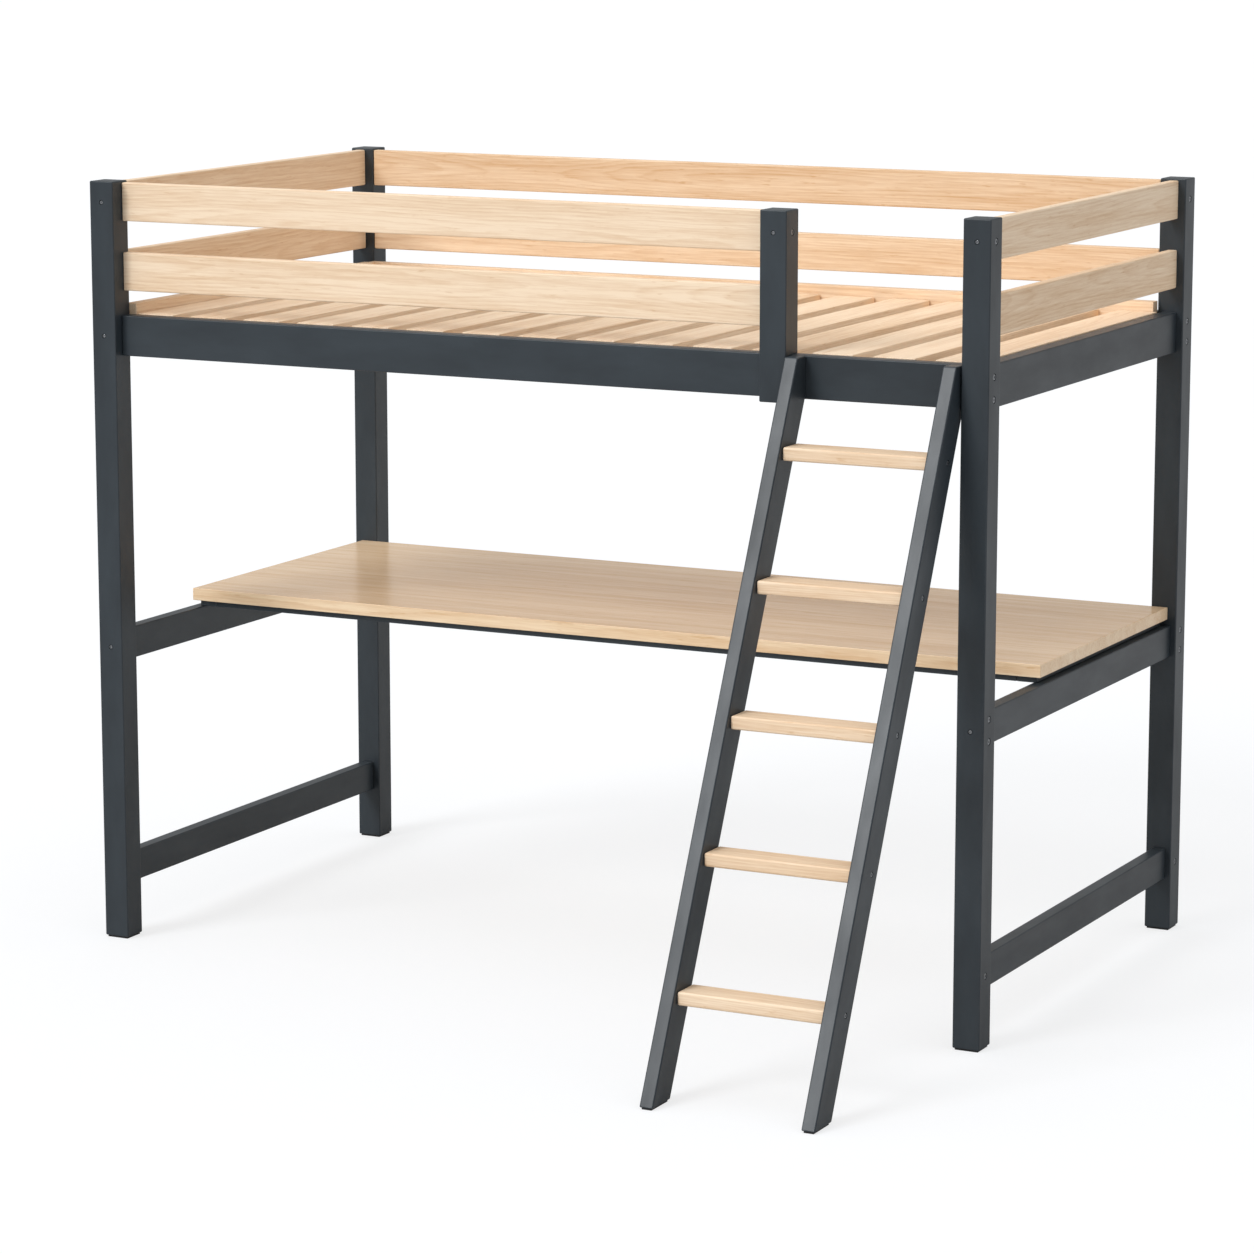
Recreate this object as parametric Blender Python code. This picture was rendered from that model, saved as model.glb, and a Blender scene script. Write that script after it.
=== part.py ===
"""Loft bed with a desk below it and a sloping ladder at its right end.

Metres, +Z up. The bed stands on z = 0 with its long side along X and the ladder side towards -Y.
The origin is the centre of the footprint, the ladder's feet included.
"""

import math

import bmesh
import bpy
from mathutils import Matrix, Vector

# Overall sizes of the bed, without the ladder
LENGTH = 2.140
WIDTH = 1.200
HEIGHT = 1.715

# Gap between two pieces that touch, and around a tenon or a bolt
FIT = 0.0003

# Posts and their glides
POST = 0.060
POST_CHAMFER = 0.003
GLIDE_HEIGHT = 0.004
GLIDE_INSET = 0.004
SPIGOT = 0.012
SPIGOT_LENGTH = 0.015

# Dark rails that carry the bed
BED_RAIL_TOP = 1.418
BED_RAIL_HEIGHT = 0.090
BED_RAIL_THICKNESS = 0.034
SIDE_RAIL_INSET = 0.026
END_RAIL_INSET = 0.015

# Light guard rails
GUARD_HEIGHT = 0.085
GUARD_THICKNESS = 0.022
GUARD_TOP_DROP = 0.004
GUARD_GAP = 0.069
SIDE_GUARD_INSET = 0.036
END_GUARD_INSET = 0.017

# Light strips inside the back rail and the left end rail, which the slats end at
STRIP_THICKNESS = 0.028
STRIP_RISE = 0.022  # above the slats

# Guard post beside the ladder opening
LADDER_OPENING = 0.388
TONGUE_DROP = 0.008

# Slats and the ledges below them
SLAT_COUNT = 15
SLAT_WIDTH = 0.092
SLAT_THICKNESS = 0.018
SLAT_END_CLEARANCE = 0.002
OUTER_SLAT_CLEARANCE = 0.002
SLAT_RISE = 0.002  # above the rails
LEDGE = 0.030

# Desk
DESK_HEIGHT = 0.750
DESKTOP_THICKNESS = 0.028
DESKTOP_SIDE_INSET = 0.020
DESK_FRONT_SETBACK = 0.360
DESK_BACK_CLEARANCE = 0.002
BATTEN_THICKNESS = 0.014
BATTEN_WIDTH = 0.045
BATTEN_SETBACK = 0.013

# Dark rails below the bed, at the desk's ends and near the floor
DESK_RAIL_HEIGHT = 0.072
LOW_RAIL_HEIGHT = 0.070
LOW_RAIL_BOTTOM = 0.122
LOWER_RAIL_THICKNESS = 0.030
LOWER_RAIL_INSET = 0.013

# Ladder
LADDER_CLEARANCE = 0.004
LADDER_RUN = 0.660
STILE_THICKNESS = 0.030
STILE_DEPTH = 0.072
STILE_LANDING = 0.040
TREAD_COUNT = 5
FIRST_TREAD_TOP = 0.217
TREAD_RISE = 0.2565
TREAD_THICKNESS = 0.028
TREAD_DEPTH = 0.070
TREAD_SETBACK = 0.008
TREAD_ROUNDING = 0.004
ROUNDING_STEPS = 3

# Tenons and edges
TENON_LENGTH = 0.014
RAIL_SHOULDER = 0.008
GUARD_SHOULDER = 0.005
TREAD_SHOULDER = 0.010
EASED_EDGE = 0.0015

# Bolts that hold the ladder to the side rail
BOLT_RADIUS = 0.004
BOLT_HEAD_RADIUS = 0.0065
BOLT_HEAD_HEIGHT = 0.005
BOLT_REACH = 0.040
BOLT_ABOVE_RAIL_BOTTOM = 0.020
ROUND_SIDES = 24

# Places worked out from the sizes
X, Y, Z = 0, 1, 2
LEFT = -LENGTH / 2
RIGHT = LENGTH / 2
LADDER_REACH = STILE_LANDING + LADDER_RUN - SIDE_RAIL_INSET + FIT
FRONT = (LADDER_REACH - WIDTH) / 2
BACK = FRONT + WIDTH
BED_RAIL_BOTTOM = BED_RAIL_TOP - BED_RAIL_HEIGHT
UPPER_GUARD_BOTTOM = HEIGHT - GUARD_TOP_DROP - GUARD_HEIGHT
LOWER_GUARD_BOTTOM = UPPER_GUARD_BOTTOM - GUARD_GAP - GUARD_HEIGHT
GUARD_POST_RIGHT = RIGHT - POST - LADDER_OPENING
GUARD_POST_LEFT = GUARD_POST_RIGHT - POST
DESK_UNDERSIDE = DESK_HEIGHT - DESKTOP_THICKNESS
DESK_RAIL_TOP = DESK_UNDERSIDE - BATTEN_THICKNESS
STILE_BOTTOM = GLIDE_HEIGHT + FIT
STILE_SLOPE = LADDER_RUN / (BED_RAIL_TOP - STILE_BOTTOM)
STILE_LEVEL_DEPTH = STILE_DEPTH * math.hypot(1, STILE_SLOPE)
STILE_BACK_TOP = FRONT + SIDE_RAIL_INSET - FIT
STILE_FRONT_TOP = STILE_BACK_TOP - STILE_LANDING
STILE_FRONT_BOTTOM = STILE_FRONT_TOP - LADDER_RUN
LEFT_STILE_LEFT = GUARD_POST_RIGHT + LADDER_CLEARANCE
RIGHT_STILE_LEFT = RIGHT - POST - LADDER_CLEARANCE - STILE_THICKNESS
END_RAIL_FACE = END_RAIL_INSET + BED_RAIL_THICKNESS
SIDE_RAIL_FACE = SIDE_RAIL_INSET + BED_RAIL_THICKNESS
LEDGE_START = max(POST, END_RAIL_FACE)
SLAT_START = max(POST, SIDE_RAIL_FACE)
SLAT_TOP = BED_RAIL_TOP + SLAT_RISE
SLAT_BOTTOM = SLAT_TOP - SLAT_THICKNESS

# Colours, linear
CHARCOAL = ((0.040, 0.047, 0.053), 0.45, 0.0)
BIRCH = ((0.68, 0.48, 0.29), 0.50, 0.0)
OAK = ((0.62, 0.43, 0.25), 0.40, 0.0)
FOOT_PLASTIC = ((0.015, 0.015, 0.016), 0.70, 0.0)
DARK_STEEL = ((0.060, 0.060, 0.065), 0.35, 0.9)

# Room for every tenon and spigot, and for every bolt, in the pieces that receive them
sockets = []
bores = []


def clear_scene():
    for old in list(bpy.data.objects):
        bpy.data.objects.remove(old, do_unlink=True)


def add_material(piece, finish):
    colour, roughness, metallic = finish
    material = bpy.data.materials.new(piece.name)
    material.use_nodes = True
    shader = material.node_tree.nodes["Principled BSDF"]
    shader.inputs["Base Color"].default_value = (*colour, 1.0)
    shader.inputs["Roughness"].default_value = roughness
    shader.inputs["Metallic"].default_value = metallic
    piece.data.materials.append(material)


def finish_piece(name, shape, location, finish, smooth=False):
    """Turns a bmesh into a named object with its own material."""
    bmesh.ops.recalc_face_normals(shape, faces=shape.faces)
    mesh = bpy.data.meshes.new(name)
    shape.to_mesh(mesh)
    shape.free()
    if smooth:
        mesh.shade_smooth()
        mesh.set_sharp_from_angle(angle=math.radians(35))
    piece = bpy.data.objects.new(name, mesh)
    piece.location = location
    bpy.context.collection.objects.link(piece)
    add_material(piece, finish)
    return piece


def moved_points(extruded):
    return [part for part in extruded["geom"] if isinstance(part, bmesh.types.BMVert)]


def box_shape(low, high):
    """A box between two corners, centred on its own origin, and the place of its centre."""
    low, high = Vector(low), Vector(high)
    shape = bmesh.new()
    bmesh.ops.create_cube(shape, size=1.0)
    bmesh.ops.scale(shape, vec=high - low, verts=shape.verts)
    return shape, (low + high) / 2


def runs_along(edge, axis):
    return abs((edge.verts[1].co - edge.verts[0].co).normalized()[axis]) > 0.99


def ease_long_edges(shape, axis, radius, steps):
    long_edges = [edge for edge in shape.edges if runs_along(edge, axis)]
    bmesh.ops.bevel(shape, geom=long_edges, offset=radius, segments=steps, profile=0.5)


def board(name, low, high, finish, axis, radius=EASED_EDGE, steps=1):
    """A plain board between two corners, its long edges eased."""
    shape, middle = box_shape(low, high)
    ease_long_edges(shape, axis, radius, steps)
    return finish_piece(name, shape, middle, finish)


def raise_block(shape, face, half_sizes, length):
    """A rectangular block that grows out of the middle of a flat face."""
    outward = face.normal.copy()
    centre = face.calc_center_bounds()
    across = [axis for axis in (X, Y, Z) if abs(outward[axis]) < 0.5]
    corners = []
    for first, second in ((-1, -1), (1, -1), (1, 1), (-1, 1)):
        corner = centre.copy()
        corner[across[0]] += first * half_sizes[across[0]]
        corner[across[1]] += second * half_sizes[across[1]]
        corners.append(shape.verts.new(corner))
    root = shape.faces.new(corners)
    around = list(face.edges) + list(root.edges)
    bmesh.ops.delete(shape, geom=[face], context="FACES_ONLY")
    extruded = bmesh.ops.extrude_face_region(shape, geom=[root])
    bmesh.ops.delete(shape, geom=[root], context="FACES_ONLY")
    bmesh.ops.translate(shape, verts=moved_points(extruded), vec=outward * length)
    bmesh.ops.triangle_fill(shape, edges=around, use_beauty=True, normal=outward)


def remember_socket(centre, half_sizes, outward, length):
    """Keeps the room that a block needs: from the face it stands on to just past its end."""
    grown = Vector([abs(part) for part in outward]) * (length + FIT) / 2
    middle = centre + outward * (length + FIT) / 2
    for axis in (X, Y, Z):
        if abs(outward[axis]) < 0.5:
            grown[axis] = half_sizes[axis] + FIT
    sockets.append((middle - grown, middle + grown))


def tenoned_board(name, low, high, finish, axis, shoulder, sides, radius=EASED_EDGE, steps=1):
    """A board between two corners, with a stub tenon on its low end (-1) or its high end (1)."""
    shape, middle = box_shape(low, high)
    half_sizes = (Vector(high) - Vector(low)) / 2 - Vector((shoulder,) * 3)
    ease_long_edges(shape, axis, radius, steps)
    shape.normal_update()
    ends = [face for face in shape.faces if any(face.normal[axis] * side > 0.99 for side in sides)]
    for face in ends:
        outward = face.normal.copy()
        centre = middle + face.calc_center_bounds()
        raise_block(shape, face, half_sizes, TENON_LENGTH)
        remember_socket(centre, half_sizes, outward, TENON_LENGTH)
    return finish_piece(name, shape, middle, finish)


def level_profile(name, outline, low_x, high_x, finish):
    """An outline in Y and Z run along X, its edges in the outline's planes eased."""
    shape = bmesh.new()
    base = shape.faces.new([shape.verts.new((low_x, y, z)) for y, z in outline])
    extruded = bmesh.ops.extrude_face_region(shape, geom=[base])
    bmesh.ops.translate(shape, verts=moved_points(extruded), vec=(high_x - low_x, 0, 0))
    bmesh.ops.recalc_face_normals(shape, faces=shape.faces)
    eased = [edge for edge in shape.edges if not runs_along(edge, X)]
    bmesh.ops.bevel(shape, geom=eased, offset=EASED_EDGE, segments=1, profile=0.5)
    middle = sum((vert.co for vert in shape.verts), Vector()) / len(shape.verts)
    bmesh.ops.translate(shape, verts=shape.verts, vec=-middle)
    return finish_piece(name, shape, middle, finish)


def rod(start, end, radius):
    """A closed round rod along Y."""
    shape = bmesh.new()
    bmesh.ops.create_circle(
        shape,
        cap_ends=True,
        radius=radius,
        segments=ROUND_SIDES,
        matrix=Matrix.Translation(start) @ Matrix.Rotation(math.radians(90), 4, "X"),
    )
    extruded = bmesh.ops.extrude_face_region(shape, geom=shape.faces[:])
    bmesh.ops.translate(shape, verts=moved_points(extruded), vec=Vector(end) - Vector(start))
    bmesh.ops.recalc_face_normals(shape, faces=shape.faces)
    return shape


def boxes_meet(low, high, other_low, other_high):
    return all(low[axis] < other_high[axis] and other_low[axis] < high[axis] for axis in (X, Y, Z))


def cut_hollows(piece, square_hollows, round_hollows):
    """Takes every square and round hollow that reaches into a piece out of it."""
    corners = [piece.matrix_basis @ vert.co for vert in piece.data.vertices]
    low = Vector([min(corner[axis] for corner in corners) for axis in (X, Y, Z)])
    high = Vector([max(corner[axis] for corner in corners) for axis in (X, Y, Z)])
    tool = bmesh.new()
    for hollow_low, hollow_high in square_hollows:
        if boxes_meet(low, high, hollow_low, hollow_high):
            hollow, middle = box_shape(hollow_low, hollow_high)
            bmesh.ops.translate(hollow, verts=hollow.verts, vec=middle)
            add_shape(tool, hollow)
    for start, end, radius in round_hollows:
        around = Vector((radius, 0, radius))
        if boxes_meet(low, high, end - around, start + around):
            add_shape(tool, rod(start, end, radius))
    cutter_mesh = bpy.data.meshes.new(piece.name + ".hollows")
    tool.to_mesh(cutter_mesh)
    tool.free()
    cutter = bpy.data.objects.new(cutter_mesh.name, cutter_mesh)
    cutter.hide_render = True
    cutter.display_type = "WIRE"
    bpy.context.collection.objects.link(cutter)
    modifier = piece.modifiers.new("Hollows", "BOOLEAN")
    modifier.operation = "DIFFERENCE"
    modifier.solver = "EXACT"
    modifier.object = cutter


def add_shape(tool, shape):
    passed = bpy.data.meshes.new("passed")
    shape.to_mesh(passed)
    shape.free()
    tool.from_mesh(passed)
    bpy.data.meshes.remove(passed)


def glide(name, low, high):
    """A thin pad under a leg, with a square spigot that goes up into the leg."""
    shape, middle = box_shape((*low, 0), (*high, GLIDE_HEIGHT))
    shape.normal_update()
    top = next(face for face in shape.faces if face.normal.z > 0.99)
    half_sizes = Vector((SPIGOT / 2,) * 3)
    raise_block(shape, top, half_sizes, SPIGOT_LENGTH)
    centre = middle + Vector((0, 0, GLIDE_HEIGHT / 2))
    remember_socket(centre, half_sizes, Vector((0, 0, 1)), SPIGOT_LENGTH)
    return finish_piece(name, shape, middle, FOOT_PLASTIC)


def corner_posts():
    """(name, low X, low Y) of the four corner posts."""
    return (
        ("front_left", LEFT, FRONT),
        ("front_right", RIGHT - POST, FRONT),
        ("back_left", LEFT, BACK - POST),
        ("back_right", RIGHT - POST, BACK - POST),
    )


def make_glides():
    for place, x, y in corner_posts():
        inner = POST - GLIDE_INSET
        glide("foot_" + place, (x + GLIDE_INSET, y + GLIDE_INSET), (x + inner, y + inner))
    for side, x in (("left", LEFT_STILE_LEFT), ("right", RIGHT_STILE_LEFT)):
        back = STILE_FRONT_BOTTOM + STILE_LEVEL_DEPTH
        low = (x + GLIDE_INSET, STILE_FRONT_BOTTOM + GLIDE_INSET)
        glide("ladder_foot_" + side, low, (x + STILE_THICKNESS - GLIDE_INSET, back - GLIDE_INSET))


def make_post(name, x, y, bottom):
    """A square post, its top chamfered and its uprights eased, with room for all that enters it."""
    shape, middle = box_shape((x, y, bottom), (x + POST, y + POST, HEIGHT))
    top = [edge for edge in shape.edges if all(vert.co.z > 0 for vert in edge.verts)]
    bmesh.ops.bevel(shape, geom=top, offset=POST_CHAMFER, segments=1, profile=0.5)
    ease_long_edges(shape, Z, EASED_EDGE, 1)
    cut_hollows(finish_piece(name, shape, middle, CHARCOAL), sockets, [])


def make_posts():
    for place, x, y in corner_posts():
        make_post("post_" + place, x, y, GLIDE_HEIGHT + FIT)


def make_guard_post():
    """A post notched over the front side rail, with a tongue that laps the rail's face."""
    tongue_bottom = BED_RAIL_BOTTOM - TONGUE_DROP
    past = POST / 10
    notch_low = (GUARD_POST_LEFT - FIT, FRONT + SIDE_RAIL_INSET - FIT, tongue_bottom - past)
    notch_high = (GUARD_POST_RIGHT + FIT, FRONT + POST + past, BED_RAIL_TOP + FIT)
    sockets.append((Vector(notch_low), Vector(notch_high)))
    make_post("guard_post", GUARD_POST_LEFT, FRONT, tongue_bottom)


def side_board(name, outer_y, inward, right, bottom, top, thickness, shoulder, finish):
    """A tenoned board along X from the left post to the post whose left face is at right."""
    low_y, high_y = sorted((outer_y, outer_y + inward * thickness))
    low = (LEFT + POST + FIT, low_y, bottom)
    high = (right - FIT, high_y, top)
    return tenoned_board(name, low, high, finish, X, shoulder, (-1, 1))


def end_board(name, outer_x, inward, bottom, top, thickness, shoulder, finish):
    """A tenoned board along Y between a front post and a back post."""
    low_x, high_x = sorted((outer_x, outer_x + inward * thickness))
    low = (low_x, FRONT + POST + FIT, bottom)
    high = (high_x, BACK - POST - FIT, top)
    return tenoned_board(name, low, high, finish, Y, shoulder, (-1, 1))


def ladder_bolt_places():
    """Start and end of the shaft of each ladder bolt, from inside the bed towards the ladder."""
    z = BED_RAIL_BOTTOM + BOLT_ABOVE_RAIL_BOTTOM
    start = FRONT + SIDE_RAIL_INSET + BED_RAIL_THICKNESS + FIT
    end = FRONT + SIDE_RAIL_INSET - BOLT_REACH
    for side, x in (("left", LEFT_STILE_LEFT), ("right", RIGHT_STILE_LEFT)):
        middle = x + STILE_THICKNESS / 2
        yield side, Vector((middle, start, z)), Vector((middle, end, z))


def make_ladder_bolts():
    """Round-headed bolts through the front side rail into the stiles."""
    for side, start, end in ladder_bolt_places():
        shape = rod(Vector((0, BOLT_HEAD_HEIGHT, 0)), Vector((0, 0, 0)), BOLT_HEAD_RADIUS)
        face = min(shape.faces, key=lambda face: face.calc_center_median().y)
        step = BOLT_HEAD_RADIUS - BOLT_RADIUS
        bmesh.ops.inset_individual(shape, faces=[face], thickness=step)
        extruded = bmesh.ops.extrude_face_region(shape, geom=[face])
        bmesh.ops.delete(shape, geom=[face], context="FACES_ONLY")
        bmesh.ops.translate(shape, verts=moved_points(extruded), vec=end - start)
        finish_piece("ladder_bolt_" + side, shape, start, DARK_STEEL, smooth=True)
        bores.append((start, end - Vector((0, FIT, 0)), BOLT_RADIUS + FIT))


def make_bed_rails():
    bottom, top, thickness = BED_RAIL_BOTTOM, BED_RAIL_TOP, BED_RAIL_THICKNESS
    right = RIGHT - POST
    front, back = FRONT + SIDE_RAIL_INSET, BACK - SIDE_RAIL_INSET
    section = (bottom, top, thickness, RAIL_SHOULDER, CHARCOAL)
    cut_hollows(side_board("side_rail_front", front, 1, right, *section), [], bores)
    side_board("side_rail_back", back, -1, right, *section)
    end_board("end_rail_left", LEFT + END_RAIL_INSET, 1, *section)
    end_board("end_rail_right", RIGHT - END_RAIL_INSET, -1, *section)


def make_guard_rails():
    for level, bottom in (("upper", UPPER_GUARD_BOTTOM), ("lower", LOWER_GUARD_BOTTOM)):
        section = (bottom, bottom + GUARD_HEIGHT, GUARD_THICKNESS, GUARD_SHOULDER, BIRCH)
        front, back = FRONT + SIDE_GUARD_INSET, BACK - SIDE_GUARD_INSET
        side_board("guard_rail_front_" + level, front, 1, GUARD_POST_LEFT, *section)
        side_board("guard_rail_back_" + level, back, -1, RIGHT - POST, *section)
        end_board("guard_rail_left_" + level, LEFT + END_GUARD_INSET, 1, *section)
        end_board("guard_rail_right_" + level, RIGHT - END_GUARD_INSET, -1, *section)


def make_edge_strips():
    """Light strips that stand on the ledges, inside the back rail and the left end rail."""
    top = SLAT_TOP + STRIP_RISE
    back = BACK - SIDE_RAIL_FACE - FIT
    low = (LEFT + LEDGE_START + FIT, back - STRIP_THICKNESS, SLAT_BOTTOM)
    board("edge_strip_back", low, (RIGHT - LEDGE_START - FIT, back, top), BIRCH, X)
    left = LEFT + END_RAIL_FACE + FIT
    low = (left, FRONT + SLAT_START + FIT, SLAT_BOTTOM)
    high = (left + STRIP_THICKNESS, back - STRIP_THICKNESS - FIT, top)
    board("edge_strip_left", low, high, BIRCH, Y)


def make_ledges():
    """Light battens inside the side rails, which the slats lie on; the back one carries a strip too."""
    top = SLAT_BOTTOM - FIT
    inner = LEDGE_START + FIT
    front, back = FRONT + SIDE_RAIL_FACE + FIT, BACK - SIDE_RAIL_FACE - FIT
    for side, y, high_y in (
        ("front", front, front + LEDGE),
        ("back", back - STRIP_THICKNESS - LEDGE, back),
    ):
        low, high = (LEFT + inner, y, top - LEDGE), (RIGHT - inner, high_y, top)
        board("slat_ledge_" + side, low, high, BIRCH, X)


def make_slats():
    outer = END_RAIL_FACE + OUTER_SLAT_CLEARANCE
    first, last = LEFT + outer + FIT + STRIP_THICKNESS, RIGHT - outer - SLAT_WIDTH
    y = SLAT_START + SLAT_END_CLEARANCE
    for number in range(SLAT_COUNT):
        x = first + (last - first) * number / (SLAT_COUNT - 1)
        low = (x, FRONT + y, SLAT_BOTTOM)
        high = (x + SLAT_WIDTH, BACK - y - FIT - STRIP_THICKNESS, SLAT_TOP)
        board(f"slat_{number + 1:02d}", low, high, BIRCH, Y)


def make_desk():
    left, right = LEFT + DESKTOP_SIDE_INSET, RIGHT - DESKTOP_SIDE_INSET
    front, back = FRONT + DESK_FRONT_SETBACK, BACK - POST - DESK_BACK_CLEARANCE
    board("desktop", (left, front, DESK_UNDERSIDE), (right, back, DESK_HEIGHT), OAK, X)
    left, right = left + BATTEN_SETBACK, right - BATTEN_SETBACK
    front, back = front + BATTEN_SETBACK, back - BATTEN_SETBACK
    bottom, top = DESK_RAIL_TOP + FIT, DESK_UNDERSIDE - FIT
    for side, x in (("left", left), ("right", right - BATTEN_WIDTH)):
        low, high = (x, front, bottom), (x + BATTEN_WIDTH, back, top)
        board("desk_batten_" + side, low, high, CHARCOAL, Y)
    left, right = left + BATTEN_WIDTH + FIT, right - BATTEN_WIDTH - FIT
    for side, y in (("front", front), ("back", back - BATTEN_WIDTH)):
        low, high = (left, y, bottom), (right, y + BATTEN_WIDTH, top)
        board("desk_batten_" + side, low, high, CHARCOAL, X)


def make_lower_rails():
    desk = (DESK_RAIL_TOP - DESK_RAIL_HEIGHT, DESK_RAIL_TOP)
    floor = (LOW_RAIL_BOTTOM, LOW_RAIL_BOTTOM + LOW_RAIL_HEIGHT)
    for kind, (bottom, top) in (("desk_rail_", desk), ("floor_rail_", floor)):
        section = (bottom, top, LOWER_RAIL_THICKNESS, RAIL_SHOULDER, CHARCOAL)
        end_board(kind + "left", LEFT + LOWER_RAIL_INSET, 1, *section)
        end_board(kind + "right", RIGHT - LOWER_RAIL_INSET, -1, *section)


def make_treads():
    left = LEFT_STILE_LEFT + STILE_THICKNESS + FIT
    right = RIGHT_STILE_LEFT - FIT
    for number in range(TREAD_COUNT):
        top = FIRST_TREAD_TOP + number * TREAD_RISE
        front = STILE_FRONT_BOTTOM + (top - STILE_BOTTOM) * STILE_SLOPE + TREAD_SETBACK
        low, high = (left, front, top - TREAD_THICKNESS), (right, front + TREAD_DEPTH, top)
        rounding = (TREAD_ROUNDING, ROUNDING_STEPS)
        name = f"ladder_tread_{number + 1}"
        tenoned_board(name, low, high, BIRCH, X, TREAD_SHOULDER, (-1, 1), *rounding)


def make_stiles():
    """Stiles with a level foot, a level top and an upright cut that meets the side rail."""
    back_bottom = STILE_FRONT_BOTTOM + STILE_LEVEL_DEPTH
    cut_bottom = STILE_BOTTOM + (STILE_BACK_TOP - back_bottom) / STILE_SLOPE
    outline = (
        (STILE_FRONT_BOTTOM, STILE_BOTTOM),
        (back_bottom, STILE_BOTTOM),
        (STILE_BACK_TOP, cut_bottom),
        (STILE_BACK_TOP, BED_RAIL_TOP),
        (STILE_FRONT_TOP, BED_RAIL_TOP),
    )
    for side, x in (("left", LEFT_STILE_LEFT), ("right", RIGHT_STILE_LEFT)):
        name = "ladder_stile_" + side
        stile = level_profile(name, outline, x, x + STILE_THICKNESS, CHARCOAL)
        cut_hollows(stile, sockets, bores)


def main():
    """Pieces with tenons, spigots and bolts come before the pieces that receive them."""
    clear_scene()
    make_ladder_bolts()
    make_bed_rails()
    make_guard_rails()
    make_edge_strips()
    make_ledges()
    make_slats()
    make_desk()
    make_lower_rails()
    make_treads()
    make_glides()
    make_posts()
    make_guard_post()
    make_stiles()


main()
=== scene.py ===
"""Loft bed with a desk below it: the finished look of every board, post, fastener and foot.

Metres, +Z up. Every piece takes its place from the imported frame.
"""

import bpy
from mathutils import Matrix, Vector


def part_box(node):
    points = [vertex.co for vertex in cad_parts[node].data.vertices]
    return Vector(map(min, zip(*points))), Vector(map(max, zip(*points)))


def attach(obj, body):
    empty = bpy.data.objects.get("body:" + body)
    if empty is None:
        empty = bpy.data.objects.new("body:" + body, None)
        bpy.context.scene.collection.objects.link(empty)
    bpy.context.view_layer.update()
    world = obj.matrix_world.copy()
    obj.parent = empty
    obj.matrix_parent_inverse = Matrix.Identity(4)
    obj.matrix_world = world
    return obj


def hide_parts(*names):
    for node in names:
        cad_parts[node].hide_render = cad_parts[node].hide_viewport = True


bl_info = {
    "name": "Loft Bed With Desk",
    "version": (1, 0, 0),
    "blender": (4, 5, 0),
    "location": "3D View > Sidebar > Loft Bed",
    "description": "Builds a painted loft bed with guard rails, a desk and a sloping ladder",
    "category": "Object",
}

import math

import bmesh
import bpy
import numpy as np
from bpy.props import FloatProperty, FloatVectorProperty, IntProperty, PointerProperty
from mathutils import Vector

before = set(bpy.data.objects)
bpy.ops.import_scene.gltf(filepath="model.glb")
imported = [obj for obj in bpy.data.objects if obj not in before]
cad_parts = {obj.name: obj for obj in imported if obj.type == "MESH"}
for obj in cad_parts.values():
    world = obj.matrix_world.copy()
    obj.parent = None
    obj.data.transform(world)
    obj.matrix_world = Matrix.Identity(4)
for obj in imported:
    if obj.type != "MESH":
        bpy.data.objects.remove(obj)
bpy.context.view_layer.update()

X, Y, Z = Vector((1, 0, 0)), Vector((0, 1, 0)), Vector((0, 0, 1))
BODY = "root"

SMOOTH_ANGLE = math.radians(40)
SAME_PLACE = 1e-5
SAME_WAY = 0.999
ROUND_SIDES = 24
RIM_STEPS = 3
CLEAR = 0.001  # how far a cutter stands out of the surface it cuts
BEAM_SPARE = 1.2  # a beam's length before it is cut, to the diagonal of its box

# Shares of a fastener's head: its rounded rim, and the width and depth of its hexagonal socket
HEAD_RIM, BOLT_RIM = 0.14, 0.20
SOCKET_WIDTH, SOCKET_DEPTH, SOCKET_SIDES = 0.5, 0.6, 6
TREAD_BOLT_SHARE = 0.8  # a tread bolt's head, to a bolt head in a post

# The log that the boards are cut from: where each next cut starts, and how far off the heart
CUT_START = 3.7
CUT_SIDE, CUT_SIDE_TURN = 0.035, 2.4
CUT_DEPTH, CUT_DEPTH_SWAY, CUT_DEPTH_TURN = 0.045, 0.020, 1.7
RING_PITCH = 0.0045
STAVE_WIDTH = 0.118

WHITE = (1.0, 1.0, 1.0, 1.0)
FLOOR_SIDE = 400
FLOOR_GLOW = 0.715
FLOOR_SHADE = (0.265, 0.276, 0.292, 1.0)
FLOOR_BOUNCE = (0.62, 0.62, 0.62, 1.0)
LIGHT_HEIGHT = 6

# The look of painted and of light boards, each paired with a slot name
PAINTED = ("charcoal_paint", "charcoal_paint")
LIGHT = ("light_wood", "natural_wood")

# The first cut in each group of boards
FIRST_CUT = {
    "bed_rails": 0,
    "desktop": 3,
    "lower_rails": 5,
    "guard_rails": 11,
    "slats": 23,
    "ledges": 47,
    "battens": 61,
    "treads": 71,
    "posts": 80,
    "stiles": 90,
}

# How much darker than the rest some light boards are, as a share of the way to the ring colour
GUARD_SHADES = {
    "guard_rail_back_upper": 0.34,
    "guard_rail_back_lower": 0.04,
    "guard_rail_left_upper": 0.10,
    "guard_rail_right_lower": 0.12,
}
TREAD_SHADE = 0.12

# Rooms that tenons and spigots need in the posts and stiles, as pairs of corners
mortises = []


# ---------------------------------------------------------------- settings


def length(name, description, default):
    return FloatProperty(name=name, description=description, default=default, unit="LENGTH")


def colour(name, description, default):
    return FloatVectorProperty(
        name=name, description=description, default=default, subtype="COLOR", size=3, min=0, max=1
    )


def angle(name, description, degrees):
    return FloatProperty(
        name=name, description=description, default=math.radians(degrees), unit="ROTATION"
    )


def brightness(name, description, default):
    return FloatProperty(name=name, description=description, default=default, min=0)


def position(name, description, default, unit):
    return FloatVectorProperty(
        name=name, description=description, default=default, subtype="XYZ", unit=unit
    )


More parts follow.
